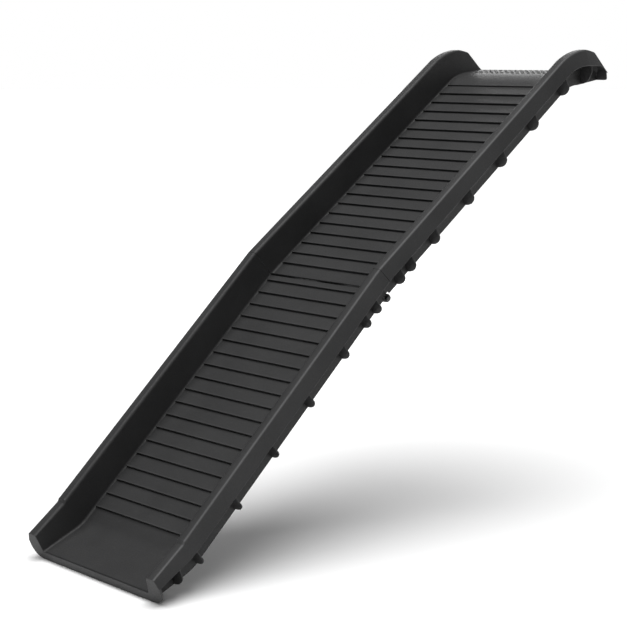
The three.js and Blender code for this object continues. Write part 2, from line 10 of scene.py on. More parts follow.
import bpy
import numpy as np
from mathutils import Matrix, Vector


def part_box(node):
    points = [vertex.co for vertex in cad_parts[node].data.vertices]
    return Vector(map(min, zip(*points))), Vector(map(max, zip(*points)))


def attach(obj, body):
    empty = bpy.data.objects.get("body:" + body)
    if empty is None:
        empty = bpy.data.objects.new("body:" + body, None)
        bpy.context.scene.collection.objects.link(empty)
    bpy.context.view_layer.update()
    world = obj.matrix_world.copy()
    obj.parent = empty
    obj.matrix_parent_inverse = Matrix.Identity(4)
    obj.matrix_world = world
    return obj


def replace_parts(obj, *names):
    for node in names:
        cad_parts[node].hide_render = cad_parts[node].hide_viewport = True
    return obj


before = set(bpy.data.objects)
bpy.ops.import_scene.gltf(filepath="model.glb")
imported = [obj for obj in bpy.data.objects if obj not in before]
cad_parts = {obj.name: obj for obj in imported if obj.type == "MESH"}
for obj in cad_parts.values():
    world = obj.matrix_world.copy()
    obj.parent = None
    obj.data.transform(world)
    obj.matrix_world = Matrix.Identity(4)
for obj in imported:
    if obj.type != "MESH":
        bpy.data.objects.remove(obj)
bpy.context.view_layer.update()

MM = 0.001

# Slopes and lengths of the two halves.
LOWER_SLOPE = math.radians(41.3)
UPPER_SLOPE = math.radians(34.9)
FOOT_BEND = LOWER_SLOPE - math.radians(21)
LANDING_BEND = UPPER_SLOPE - math.radians(8.4)
HALF_CROWN = (LOWER_SLOPE - UPPER_SLOPE) / 2
FOOT_LENGTH = 96
LANDING_LENGTH = 74
FOOT_BEND_RADIUS = 90
LANDING_BEND_RADIUS = 118
FOOT_TANGENT = FOOT_BEND_RADIUS * math.tan(FOOT_BEND / 2)
LOWER_STRAIGHT = 665 - FOOT_TANGENT
UPPER_STRAIGHT = 686
FOOT_START = LOWER_STRAIGHT + FOOT_BEND_RADIUS * FOOT_BEND
LOWER_END = FOOT_START + FOOT_LENGTH - FOOT_TANGENT
LANDING_START = UPPER_STRAIGHT + LANDING_BEND_RADIUS * LANDING_BEND
UPPER_END = LANDING_START + LANDING_LENGTH

# Cross-section of the deck and its rails.
DECK_HALF = 160
DECK_THICKNESS = 4
WALL = 3.5
RAIL_HEIGHT = 62
RAIL_INNER = 168
RAIL_OUTER = 190
SKIRT_EDGE = 199
SKIRT_BOTTOM = 30
SIDE_DEPTH = 16
FOOT_FRONT_RAIL = 36
LANDING_DEPTH = 22
NOSE_START = 56
NOSE_RADIUS = 22
LANDING_CREST = 55.5
RAIL_END_START = 33
RAIL_END_HEIGHT = 45.5
RAIL_END_CURVE = 1.3
RAIL_TIP_HEIGHT = 5
LANDING_SKIRT_LOW = 20
TIP_SKIRT_LOW = 8
LEAN_FADE = 50
LEAN_LEFT = 0.25
JOINT_GAP = 0.8
JOINT_EASE = 24
NOTCH_LENGTH = 11
NOTCH_DEPTH = 10
DECK_GAP = 8

# Slats, landing slab and grip studs.
SLAT_PITCH = 33.5
SLAT_RISE = 5
SLAT_HALF = 157
SLAT_GROOVE = 1
SLAT_BACK = 0.4
SLAT_BEVEL = 1.6
SLAT_ROOT = -3.5
LOWER_SLATS = 19
UPPER_SLATS = 19
LOWER_FIRST_RISER = 44 - 665
UPPER_FIRST_RISER = 37
SLAB_RISE = 3
STUD_ROWS = 7
STUD_COLUMNS = 19
STUD_START = 4
STUD_PITCH = 8
STUD_WIDTH = 15
STUD_SIZE = (6.6, 6.2)
STUD_ROOT = 0.5
STUD_HEIGHT = 1.8

# Ribs.
RIB = 2.5
CROSS_RIB_DEPTH = 15.2
LONG_RIB_DEPTH = 14.4
LONG_RIB_SPACING = 53
RAIL_PLATE_RADIUS = 34
RAIL_PLATE_DEPTH = 15.7
TIP_PLATE_RADIUS = 12
LOWER_RIB_RUNS = (45, 83, 163, 285.3, 407.6, 529.9, 652.2, FOOT_START + 26)
UPPER_RIB_RUNS = (39.5, 78, 163.5, 289.5, 415.5, 541.5, 667.5, LANDING_START + 14)

# Hinge.
PIN_DEPTH = 20
BORE_RADIUS = 3.4
TIE_LOW = -20
TIE_HIGH = -5
KNUCKLE_RADIUS = 8.5
LOWER_KNUCKLES = ((150, 163.5), (106, 127), (11.5, 32.5), (-32.5, -11.5), (-127, -106), (-163.5, -150))
UPPER_KNUCKLES = ((128, 149), (-10.5, 10.5), (-149, -128))

# Pad seats, front lip and tip.
Seat = namedtuple("Seat", "across run length width depth")
FOOT_SEAT = Seat(95, LOWER_END - 22, 98, 26, 16.3)
LANDING_SEAT = Seat(88, LANDING_START + 46, 118, 32, 22.3)
SEAT_THICKNESS = 4
LIP_DEPTH = 18
LIP_THICKNESS = 4
LIP_PROUD = 0.5
TIP_WALL = 6
TIP_PLATE_INSET = 4

SHARP_ANGLE = math.radians(38)
CORNER_STEPS = 7
OUTSIDE_CORNERS = 4

# Studio, in metres.
SKY_STRENGTH = 0.12
FLOOR_REACH = 60.0
HORIZON_REACH = 40.0
HORIZON_RISE = 8.0
HORIZON_SIDES = 64
LENS = 89.5
SENSOR_WIDTH = 36
CAMERA_FROM_PIN = (2.2328, -2.2153, 0.4718)
CAMERA_FORWARD = (-0.7073, 0.6878, -0.1637)

Half = namedtuple("Half", "body sign slope straight bend_radius bend end")
LOWER = Half("lower_half", -1, LOWER_SLOPE, LOWER_STRAIGHT, FOOT_BEND_RADIUS, FOOT_BEND, LOWER_END)
UPPER = Half("upper_half", 1, UPPER_SLOPE, UPPER_STRAIGHT, LANDING_BEND_RADIUS, LANDING_BEND, UPPER_END)

rod_low, rod_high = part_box("hinge_rod")
PIN = (rod_low + rod_high) / 2


# ---- Placing: from run and height to the row frame ----

def joint_place():
    """Where the two deck lines meet: the pin's place, less the pin's place in the upper half."""
    along = PIN_DEPTH * math.tan(HALF_CROWN)
    y = along * math.cos(UPPER_SLOPE) + PIN_DEPTH * math.sin(UPPER_SLOPE)
    z = along * math.sin(UPPER_SLOPE) - PIN_DEPTH * math.cos(UPPER_SLOPE)
    return PIN.y / MM - y, PIN.z / MM - z


JOINT_Y, JOINT_Z = joint_place()


def deck_line(run, half):
    """Straight, then an arc, then straight again: distance along, fall below, and angle of the line."""
    past = np.maximum(run - half.straight, 0)
    angle = np.minimum(past / half.bend_radius, half.bend)
    beyond = np.maximum(past - half.bend_radius * half.bend, 0)
    along = np.minimum(run, half.straight) + half.bend_radius * np.sin(angle)
    along = along + beyond * math.cos(half.bend)
    fall = half.bend_radius * (1 - np.cos(angle)) + beyond * math.sin(half.bend)
    return half.sign * along, -half.sign * fall, angle


def to_frame(x, y, z, half):
    """Turns a point of the half's own frame by its slope, and moves it to the joint, in metres."""
    turned_y = y * math.cos(half.slope) - z * math.sin(half.slope)
    turned_z = y * math.sin(half.slope) + z * math.cos(half.slope)
    return np.stack([x, turned_y + JOINT_Y, turned_z + JOINT_Z], -1) * MM


def place_flat(x, run, height, half):
    """A point at its true height over the deck line."""
    x, run, height = np.broadcast_arrays(x, run, height)
    y, z, angle = deck_line(run, half)
    return to_frame(x, y + height * np.sin(angle), z + height * np.cos(angle), half)


def nose_drop(past):
    """How far the round nose of the landing falls: radius less the root of radius^2 - distance^2."""
    over = np.maximum(past - NOSE_START, 0)
    return NOSE_RADIUS - np.sqrt(NOSE_RADIUS ** 2 - over ** 2)


def between(first, second, share):
    return first + (second - first) * share


def landing_rail(bent, past):
    """Heights of the rail top and of the skirt's low edge. The top falls with the distance to the
    power 1.3 and then straight down to the tip; the low edge falls in straight lines."""
    rounded_part = np.minimum(past / RAIL_END_START, 1) ** RAIL_END_CURVE
    crest = between(between(RAIL_HEIGHT, LANDING_CREST, bent), RAIL_END_HEIGHT, rounded_part)
    cut = np.maximum(past - RAIL_END_START, 0) / (LANDING_LENGTH - RAIL_END_START)
    crest = between(crest, RAIL_TIP_HEIGHT - nose_drop(LANDING_LENGTH), cut)
    skirt = between(between(SKIRT_BOTTOM, LANDING_SKIRT_LOW, bent), TIP_SKIRT_LOW, past / LANDING_LENGTH)
    highest = between(-nose_drop(past), crest, SKIRT_BOTTOM / RAIL_HEIGHT)
    return crest, np.minimum(skirt, highest)


def landing_section(x, run, height, bent):
    """Over the landing the skirts reach lower and stand closer in, and the underside stays flat."""
    past = np.maximum(run - LANDING_START, 0)
    drop = nose_drop(past)
    crest, skirt = landing_rail(bent, past)
    depth = between(SIDE_DEPTH, LANDING_DEPTH, bent)
    under = height * (depth - drop) / SIDE_DEPTH - drop
    wall = between(-drop, skirt, height / SKIRT_BOTTOM)
    rail = between(skirt, crest, (height - SKIRT_BOTTOM) / (RAIL_HEIGHT - SKIRT_BOTTOM))
    inwards = np.maximum(np.abs(x) - RAIL_OUTER, 0) * (1 - LEAN_LEFT) * np.minimum(past / LEAN_FADE, 1)
    scaled = np.where(height > SKIRT_BOTTOM, rail, np.where(height > 0, wall, under))
    return x - np.sign(x) * inwards, scaled


def place(x, run, height, half):
    """A point of a rail or shell section: its height is scaled to the rail and the depth of the side
    wall there, and near the joint it leans so that both halves meet in the plane between them."""
    x, run, height = np.broadcast_arrays(x, run, np.asarray(height, float))
    low_limit = np.where(run < NOTCH_LENGTH, -NOTCH_DEPTH, -1000)
    height = np.maximum(height, low_limit)
    y, z, angle = deck_line(run, half)
    if half is LOWER:
        from_front = np.minimum(half.end - run, FOOT_LENGTH) / FOOT_LENGTH
        share = FOOT_FRONT_RAIL / RAIL_HEIGHT + (1 - FOOT_FRONT_RAIL / RAIL_HEIGHT) * from_front
        scaled = np.where(height > 0, height * share, height)
    else:
        x, scaled = landing_section(x, run, height, np.minimum(angle / half.bend, 1))
    lean = half.sign * (JOINT_GAP / 2 - height * math.tan(HALF_CROWN))
    eased = np.maximum(1 - run / JOINT_EASE, 0)
    y = y + scaled * np.sin(angle) + lean * eased
    return to_frame(x, y, z + scaled * np.cos(angle), half)


# ---- Outlines and meshes ----

def rounded(corners, steps=6):
    """A closed outline with round corners: each corner (x, height, radius) becomes an arc that
    touches both of its sides, radius * tan(half the turn) away from the corner."""
    corner = np.array(corners, float)
    at, radius = corner[:, :2], corner[:, 2:]
    come = at - np.roll(at, 1, 0)
    come /= np.linalg.norm(come, axis=1, keepdims=True)
    go = np.roll(at, -1, 0) - at
    go /= np.linalg.norm(go, axis=1, keepdims=True)
    cross = (come[:, 0] * go[:, 1] - come[:, 1] * go[:, 0])[:, None]
    turn = np.arctan2(np.abs(cross), (come * go).sum(1, keepdims=True))
    inward = np.sign(cross) * np.stack([-come[:, 1], come[:, 0]], 1)
    centre = at - come * radius * np.tan(turn / 2) + inward * radius
    swept = turn * np.linspace(0, 1, steps)
    ring = come[:, None] * np.sin(swept)[..., None] - inward[:, None] * np.cos(swept)[..., None]
    return (centre[:, None] + radius[:, None] * ring).reshape(-1, 2)


def both_sides(right):
    """Corners of the right half followed by their mirror images in reverse order."""
    return [*right, *((-x, height, radius) for x, height, radius in reversed(right))]


def tube_faces(rings, points, loop):
    """Quads between neighbouring rings of a closed outline. A loop's last ring meets its first one;
    otherwise one face covers each end."""
    ring, point = np.meshgrid(np.arange(rings - (not loop)), np.arange(points), indexing="ij")
    next_ring, next_point = (ring + 1) % rings, (point + 1) % points
    quads = np.stack([ring * points + point, ring * points + next_point,
                      next_ring * points + next_point, next_ring * points + point], -1)
    faces = quads.reshape(-1, 4).tolist()
    if not loop:
        faces.append(list(range(points))[::-1])
        faces.append([(rings - 1) * points + i for i in range(points)])
    return faces


def signed_volume(vertices, faces):
    """Sum of the origin's tetrahedra over the faces, each face as a fan about its first corner."""
    total = 0.0
    for face in faces:
        corners = vertices[face]
        total += float((np.cross(corners[1:-1], corners[2:]) @ corners[0]).sum())
    return total


def joined(tubes, loop):
    """Several tubes, each an array of rings x points x 3, as one list of vertices and faces that
    point outwards."""
    vertices, faces, base = [], [], 0
    for tube in tubes:
        flat = tube.reshape(-1, 3)
        own = tube_faces(*tube.shape[:2], loop)
        if signed_volume(flat - flat.mean(0), own) < 0:
            own = [face[::-1] for face in own]
        vertices.append(flat)
        faces += [[base + i for i in face] for face in own]
        base += len(flat)
    return np.concatenate(vertices), faces


def add_object(name, data):
    made = bpy.data.objects.new(name, data)
    bpy.context.scene.collection.objects.link(made)
    return made


def piece(name, tubes, half, bevel=0.0, painted_light=None, loop=False):
    """One piece of a moulding from closed tubes, with soft edges where `bevel` is given. A value of
    painted light
    and shade may be given for each vertex: -1 painted shade deep in a groove, 0 plain, 1 a painted
    highlight on an edge."""
    vertices, faces = joined(tubes, loop)
    mesh = bpy.data.meshes.new(name)
    mesh.from_pydata(vertices.tolist(), [], faces)
    # Per-vertex attribute of painted light and shade, zero where none is given.
    shade = mesh.attributes.new("painted_light", "FLOAT", "POINT")
    if painted_light is not None:
        shade.data.foreach_set("value", np.asarray(painted_light, np.float32).ravel())
    mesh.shade_smooth()
    mesh.materials.append(PLASTIC)
    made = add_object(name, mesh)
    if bevel:
        edge = made.modifiers.new("soft edges", "BEVEL")
        edge.width = bevel * MM
        edge.segments = 2
        edge.angle_limit = SHARP_ANGLE
    else:
        mesh.set_sharp_from_angle(angle=SHARP_ANGLE)
    weighted = made.modifiers.new("flat faces", "WEIGHTED_NORMAL")
    weighted.keep_sharp = not bevel
    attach(made, half.body)
    return made


def carry(outline, runs, half, put=place):
    """The outline's x and height at each run: rings x points x 3."""
    runs = np.asarray(runs, float)[:, None]
    return put(outline[None, :, 0], runs, outline[None, :, 1], half)


def plate(outline, run, thickness, half):
    return carry(outline, [run - thickness / 2, run + thickness / 2], half)


# ---- Finishes ----

def new_material(name):
    material = bpy.data.materials.new(name)
    material.use_nodes = True
    return material, material.node_tree, material.node_tree.nodes["Principled BSDF"]


def add_node(tree, kind, inputs=None, **settings):
    made = tree.nodes.new(kind)
    for key, value in settings.items():
        setattr(made, key, value)
    for key, value in (inputs or {}).items():
        made.inputs[key].default_value = value
    return made


def noise(tree, where, scale, detail=3.0, roughness=0.5, stretch=None):
    """Noise over object coordinates, in waves per metre, drawn out along an axis by `stretch`."""
    if stretch:
        mapping = add_node(tree, "ShaderNodeMapping", {"Scale": stretch})
        tree.links.new(where, mapping.inputs["Vector"])
        where = mapping.outputs["Vector"]
    inputs = {"Scale": scale, "Detail": detail, "Roughness": roughness}
    made = add_node(tree, "ShaderNodeTexNoise", inputs)
    tree.links.new(where, made.inputs["Vector"])
    return made.outputs["Fac"]


def ranged(tree, value, low, high, to_low, to_high):
    """A value moved from one range to another and held inside it."""
    inputs = {"From Min": low, "From Max": high, "To Min": to_low, "To Max": to_high}
    made = add_node(tree, "ShaderNodeMapRange", inputs)
    tree.links.new(value, made.inputs["Value"])
    return made.outputs["Result"]


def mixed(tree, share, first, second):
    """A colour between two, by a share. Either may be a colour or another node's output."""
    made = add_node(tree, "ShaderNodeMix", data_type="RGBA")
    tree.links.new(share, made.inputs["Factor"])
    for key, colour in (("A", first), ("B", second)):
        socket = next(s for s in made.inputs if s.name == key and s.type == "RGBA")
        if isinstance(colour, tuple):
            socket.default_value = (*colour, 1)
        else:
            tree.links.new(colour, socket)
    return next(s for s in made.outputs if s.type == "RGBA")


def bumped(tree, shader, heights):
    """Stacks bump nodes: each (height, strength, distance in metres) sits on the one before."""
    before = None
    for height, strength, distance in heights:
        bump = add_node(tree, "ShaderNodeBump", {"Strength": strength, "Distance": distance})
        tree.links.new(height, bump.inputs["Height"])
        if before:
            tree.links.new(before, bump.inputs["Normal"])
        before = bump.outputs["Normal"]
    tree.links.new(before, shader.inputs["Normal"])


def object_coordinates(tree):
    return add_node(tree, "ShaderNodeTexCoord").outputs["Object"]


def pebble(tree, where, scale):
    """Rounded cells of a moulded pebble grain."""
    cells = add_node(tree, "ShaderNodeTexVoronoi", {"Scale": scale, "Smoothness": 0.6},
                     feature="SMOOTH_F1")
    tree.links.new(where, cells.inputs["Vector"])
    return cells.outputs["Distance"]


def moulded_plastic(name, dark, light, shine, grain):
    """Matt black polypropylene: pebble grain, slow cloudy patches and fine scuffs, with painted
    highlights and painted shade from a per-vertex value.
    """
    material, tree, shader = new_material(name)
    where = object_coordinates(tree)
    cloud = noise(tree, where, 9, 4)
    fleck = noise(tree, where, 420, 2)
    streak = noise(tree, where, 60, 5, 0.6, (1, 6, 6))
    painted_light = add_node(tree, "ShaderNodeAttribute", attribute_name="painted_light").outputs["Fac"]
    base = mixed(tree, ranged(tree, cloud, 0.3, 0.7, 0, 1), dark, light)
    scuffed = mixed(tree, ranged(tree, streak, 0.6, 0.75, 0, 0.35), base, (0.055, 0.055, 0.056))
    # Painted highlight: mixes towards pale grey where the per-vertex value is above 0 (crest corners,
    # slat noses and ends, the lip).
    with_painted_highlight = mixed(tree, ranged(tree, painted_light, 0, 1, 0, 1), scuffed, (0.15, 0.151, 0.154))
    # Painted shade: mixes towards near black where the per-vertex value is below 0 (grooves, risers,
    # inner walls, hinge ties).
    with_painted_shade = mixed(tree, ranged(tree, painted_light, -1, 0, 0.9, 0), with_painted_highlight, (0.0015, 0.0015, 0.0016))
    tree.links.new(with_painted_shade, shader.inputs["Base Color"])
    rough = ranged(tree, fleck, 0.35, 0.65, shine, shine + 0.14)
    tree.links.new(rough, shader.inputs["Roughness"])
    shader.inputs["Specular IOR Level"].default_value = 0.42
    bumped(tree, shader, [(pebble(tree, where, 700), grain, 0.0004), (fleck, 0.12, 0.0003),
                          (cloud, 0.25, 0.002)])
    return material


def ribbed_rubber(name):
    """Soft black rubber with fine moulded ribs both ways and a dusty bloom."""
    material, tree, shader = new_material(name)
    where = object_coordinates(tree)
    dust = noise(tree, where, 70, 5)
    fine = noise(tree, where, 900, 2)
    dusty = ranged(tree, dust, 0.4, 0.75, 0, 1)
    colour = mixed(tree, dusty, (0.012, 0.012, 0.012), (0.045, 0.043, 0.041))
    tree.links.new(colour, shader.inputs["Base Color"])
    tree.links.new(ranged(tree, fine, 0.3, 0.7, 0.78, 0.95), shader.inputs["Roughness"])
    ribs = []
    for direction in ("X", "Y"):
        wave = add_node(tree, "ShaderNodeTexWave", {"Scale": 100, "Distortion": 0.0},
                        bands_direction=direction)
        tree.links.new(where, wave.inputs["Vector"])
        ribs.append((wave.outputs["Fac"], 0.5, 0.0006))
    bumped(tree, shader, [*ribs, (fine, 0.3, 0.0003)])
    return material


def drawn_steel(name):
    """Zinc-plated steel: streaks drawn along X, cloudy plating and small dull spots."""
    material, tree, shader = new_material(name)
    where = object_coordinates(tree)
    streak = noise(tree, where, 500, 3, 0.6, (0.05, 1, 1))
    cloud = noise(tree, where, 120, 4)
    colour = mixed(tree, ranged(tree, cloud, 0.35, 0.65, 0, 1), (0.42, 0.43, 0.44), (0.62, 0.62, 0.60))
    tree.links.new(colour, shader.inputs["Base Color"])
    shader.inputs["Metallic"].default_value = 1.0
    tree.links.new(ranged(tree, streak, 0.3, 0.7, 0.24, 0.46), shader.inputs["Roughness"])
    bumped(tree, shader, [(streak, 0.15, 0.0002)])
    return material


def pale_floor(name):
    """Matt white studio floor with barely seen cloudy patches."""
    material, tree, shader = new_material(name)
    where = object_coordinates(tree)
    cloud = noise(tree, where, 1.5, 3)
    colour = mixed(tree, cloud, (0.93, 0.93, 0.93), (0.96, 0.96, 0.96))
    tree.links.new(colour, shader.inputs["Base Color"])
    shader.inputs["Roughness"].default_value = 0.9
    shader.inputs["Specular IOR Level"].default_value = 0.1
    return material


PLASTIC = moulded_plastic("black moulded plastic", (0.012, 0.012, 0.0124), (0.02, 0.02, 0.0204),
                          0.5, 0.35)
CAP = moulded_plastic("grey cap plastic", (0.035, 0.035, 0.036), (0.05, 0.05, 0.051), 0.38, 0.12)
RUBBER = ribbed_rubber("black rubber")
STEEL = drawn_steel("zinc-plated steel")


# ---- Sections ----

def shell_outline():
    """Deck, inner wall, rail top and outer skirt as one wall of even thickness, with round corners."""
    return rounded(both_sides([
        (DECK_HALF, 0, 6),
        (RAIL_INNER, RAIL_HEIGHT, 7),
        (RAIL_OUTER, RAIL_HEIGHT, 5.5),
        (SKIRT_EDGE, SKIRT_BOTTOM, 1.2),
        (SKIRT_EDGE - WALL, SKIRT_BOTTOM, 1.2),
        (RAIL_OUTER - WALL + 0.6, RAIL_HEIGHT - WALL, 3),
        (RAIL_INNER + WALL - 0.4, RAIL_HEIGHT - WALL, 3.5),
        (DECK_HALF + WALL, 0, 8),
        (DECK_HALF + WALL - 0.5, -SIDE_DEPTH, 0.9),
        (DECK_HALF - 0.6, -SIDE_DEPTH, 0.9),
        (DECK_HALF - 0.2, -DECK_THICKNESS, 1.5),
    ]), CORNER_STEPS)


def shell_runs(half):
    """Rings close together where the line bends, at the joint's notch and over the rounded ends."""
    bend_end = half.straight + half.bend_radius * half.bend
    near = [0, NOTCH_LENGTH - 0.01, NOTCH_LENGTH, JOINT_EASE]
    bend = np.linspace(half.straight, bend_end, 19)
    end = np.linspace(bend_end, half.end, 27)[1:]
    return np.concatenate([near, bend, end])


def rail_plate(side, radius):
    """A plate across the rail's channel from inner wall to skirt. Its lower outer corner is an arc
    of `radius`, cut off where it meets the skirt."""
    turn = np.radians(np.linspace(0, 70, 15))
    outer = SKIRT_EDGE - WALL - 0.5
    arc_x = np.minimum(SKIRT_EDGE - 2 - radius + radius * np.sin(turn), outer)
    arc_height = radius * (1 - np.cos(turn)) - RAIL_PLATE_DEPTH
    top = RAIL_HEIGHT - WALL - 4
    outline = [(DECK_HALF + WALL + 4, top), (DECK_HALF + WALL / 2, -RAIL_PLATE_DEPTH),
               *zip(arc_x, arc_height), (outer, SKIRT_BOTTOM + 3), (RAIL_OUTER - WALL - 1, top)]
    return np.array(outline) * (side, 1)


def box_outline(left, right, low, high):
    return np.array([(left, low), (right, low), (right, high), (left, high)], float)


# ---- Pieces of a half ----

def shell_painted_light(outline, rings):
    """Painted light of the shell: a painted highlight on the crest's outer corner, painted shade in the
    corner beside the deck, and dark painted shade on the inside of the wall. Counted from either end of
    the outline, the outside corners come first."""
    x, height = np.abs(outline[:, 0]), outline[:, 1]
    crest = np.exp(-((x - RAIL_OUTER + 1.5) / 2.2) ** 2 - ((height - RAIL_HEIGHT + 1.5) / 2.2) ** 2)
    corner = np.exp(-((x - DECK_HALF) / 2.5) ** 2 - (height / 2.5) ** 2)
    order = np.arange(len(outline)) // CORNER_STEPS
    inside = np.minimum(order, order[-1] - order) >= OUTSIDE_CORNERS
    return np.tile(np.where(inside, -0.8, 0.35 * crest - 0.5 * corner), rings)


def make_shell(name, half, replaced):
    """The shell's outline carried along the half. The deck itself stops short of the joint."""
    outline, runs = shell_outline(), shell_runs(half)
    deck = np.abs(outline[:, 0]) < DECK_HALF - 1
    run = np.where(deck, np.maximum(runs[:, None], DECK_GAP / 2), runs[:, None])
    tube = place(outline[:, 0], run, outline[:, 1], half)
    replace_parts(piece(name, [tube], half, painted_light=shell_painted_light(outline, len(runs))), replaced)


def slat_profile(riser, back):
    """One slat as distance uphill, height and painted light: a riser, a round nose, a falling top that
    ends at `back`, and a drop into the groove before the next riser. The riser and the groove get
    painted shade, the nose a faint painted highlight."""
    turn = np.radians(np.linspace(180, 100, 6))
    nose = np.stack([1.5 + 1.5 * np.cos(turn), SLAT_RISE - 1.5 + 1.5 * np.sin(turn)], 1)
    top = np.array([4, back - riser - 5, back - riser - 1.2, back - riser])
    fall = SLAT_RISE - (SLAT_RISE - SLAT_BACK) * top / SLAT_PITCH
    line = np.concatenate([[(0.6, -1.5), (0.2, 1.5)], nose, np.stack([top, fall], 1),
                           [(back - riser, -1.5)]])
    # Painted shade on the riser and in the groove, a faint painted highlight on the nose.
    painted_light = [-1, -1, -0.8, -0.3, 0.1, 0.22, 0.2, 0.08, 0, -0.02, -0.3, -1, -1]
    return np.column_stack([line[:, 0] + riser, line[:, 1], painted_light])


def make_slats(name, half, first, count, last_end):
    """All slats of a half as one saw-toothed line, carried across the deck between bevelled ends."""
    risers = first + SLAT_PITCH * np.arange(count)
    backs = np.minimum(risers + SLAT_PITCH - SLAT_GROOVE, last_end)
    line = np.concatenate([slat_profile(riser, back) for riser, back in zip(risers, backs)])
    under = [(line[-1, 0], SLAT_ROOT, 0), (line[0, 0], SLAT_ROOT, 0)]
    uphill, height, painted_light = np.concatenate([line, under]).T
    across = np.array([-SLAT_HALF, SLAT_BEVEL - SLAT_HALF, SLAT_HALF - SLAT_BEVEL, SLAT_HALF])[:, None]
    at_end = np.abs(across) == SLAT_HALF
    lowered = height - np.where(at_end & (height > SLAT_BEVEL), SLAT_BEVEL, 0)
    # Painted highlight on the bevelled ends of the slats.
    with_painted_highlight = painted_light + np.where(at_end & (height > SLAT_BEVEL), 0.8, 0)
    tube = place_flat(across, half.sign * uphill, lowered, half)
    piece(name, [tube], half, painted_light=with_painted_highlight)


def make_slab():
    """The plain plate over the bend and the landing, from the last riser to the round nose."""
    start = UPPER_FIRST_RISER + UPPER_SLATS * SLAT_PITCH
    runs = np.concatenate([[start], np.linspace(UPPER_STRAIGHT, LANDING_START, 19),
                           np.linspace(LANDING_START, UPPER_END - 1, 30)[1:]])
    half_width = SLAT_HALF - 0.5
    outline = rounded([(half_width, SLAB_RISE, 1.6), (-half_width, SLAB_RISE, 1.6),
                       (-half_width, -2, 0.3), (half_width, -2, 0.3)])
    piece("landing_slab", [carry(outline, runs, UPPER)], UPPER, bevel=0.7)


def make_studs():
    """Low diamond studs on the landing, each a four-sided pyramid with its top cut off."""
    row, column = np.meshgrid(np.arange(STUD_ROWS), np.arange(STUD_COLUMNS), indexing="ij")
    run = LANDING_START + STUD_START + STUD_PITCH * row
    x = (column - (STUD_COLUMNS - 0.5) / 2 + 0.5 * (row % 2)) * STUD_WIDTH
    corner = np.array([(1, 0), (0, 1), (-1, 0), (0, -1)]) * STUD_SIZE
    size = np.array([1, 0.45])[:, None, None]
    height = SLAB_RISE + np.array([-STUD_ROOT, STUD_HEIGHT])[:, None]
    outline = size * corner
    tubes = [place(at_x + outline[..., 0], at_run + outline[..., 1], height, UPPER)
             for at_x, at_run in zip(x.ravel(), run.ravel())]
    piece("landing_grip_studs", tubes, UPPER)


def rail_plates(run, radius, half):
    return [plate(rail_plate(side, radius), run, RIB, half) for side in (-1, 1)]


def make_ribs(name, half, runs):
    """Cross ribs under the deck, each with a round-cornered plate in both rails."""
    tubes = []
    for run in runs:
        across = box_outline(-DECK_HALF - 1, DECK_HALF + 1, -CROSS_RIB_DEPTH, -1)
        tubes += [plate(across, run, RIB, half), *rail_plates(run, RAIL_PLATE_RADIUS, half)]
    piece(name, tubes, half, bevel=0.5)


def make_long_ribs(name, half):
    """Ribs that run along the half under the deck, and the wall at the deck's end."""
    runs = shell_runs(half)
    runs[0] = DECK_GAP / 2 + WALL / 2
    runs[-1] -= RIB
    tubes = [carry(box_outline(DECK_HALF + 1, -DECK_HALF - 1, -NOTCH_DEPTH, -0.5),
                   [DECK_GAP / 2, DECK_GAP / 2 + WALL], half)]
    for middle in LONG_RIB_SPACING * np.arange(-2, 3):
        rib = box_outline(middle - RIB / 2, middle + RIB / 2, -LONG_RIB_DEPTH, -1.5)
        tubes.append(carry(rib, runs, half))
    piece(name, tubes, half, bevel=0.4)


def make_knuckles(name, half, spans):
    """Hinge barrels: a rounded ring section turned about the pin. A block ties each to the deck."""
    pin_y = half.sign * PIN_DEPTH * math.tan(HALF_CROWN)
    turn = np.radians(np.arange(0, 360, 7.5))[:, None]
    barrels, ties = [], []
    for low, high in spans:
        rim = rounded([(low, BORE_RADIUS, 0.4), (high, BORE_RADIUS, 0.4),
                       (high, KNUCKLE_RADIUS, 1), (low, KNUCKLE_RADIUS, 1)], 4)
        x = np.broadcast_to(rim[:, 0], (len(turn), len(rim)))
        y = pin_y + np.cos(turn) * rim[:, 1]
        barrels.append(to_frame(x, y, np.sin(turn) * rim[:, 1] - PIN_DEPTH, half))
        ties.append(knuckle_tie(low, high, half))
    piece(name + "_barrels", barrels, half, loop=True)
    # Painted shade: the tie blocks are coloured fully dark.
    piece(name + "_ties", ties, half, bevel=0.6, painted_light=np.full(8 * len(ties), -1.0))


def knuckle_tie(low, high, half):
    """A block from beside the joint plane to the deck's end wall, from above the bore to the deck."""
    y = half.sign * np.array([JOINT_GAP, DECK_GAP / 2 + WALL, DECK_GAP / 2 + WALL, JOINT_GAP])
    z = np.array([TIE_LOW, TIE_LOW, TIE_HIGH, TIE_HIGH])
    return np.stack([to_frame(np.full(4, float(x)), y, z, half) for x in (low, high)])


def make_seats(name, half, seat):
    """The flat plates under the deck that the rubber pads are screwed to."""
    tubes = []
    for side in (-1, 1):
        middle = side * seat.across
        outline = box_outline(middle - seat.length / 2, middle + seat.length / 2,
                              -seat.depth, SEAT_THICKNESS - seat.depth)
        runs = [seat.run - seat.width / 2, seat.run + seat.width / 2]
        tubes.append(carry(outline, runs, half, place_flat))
    piece(name, tubes, half, bevel=0.5)


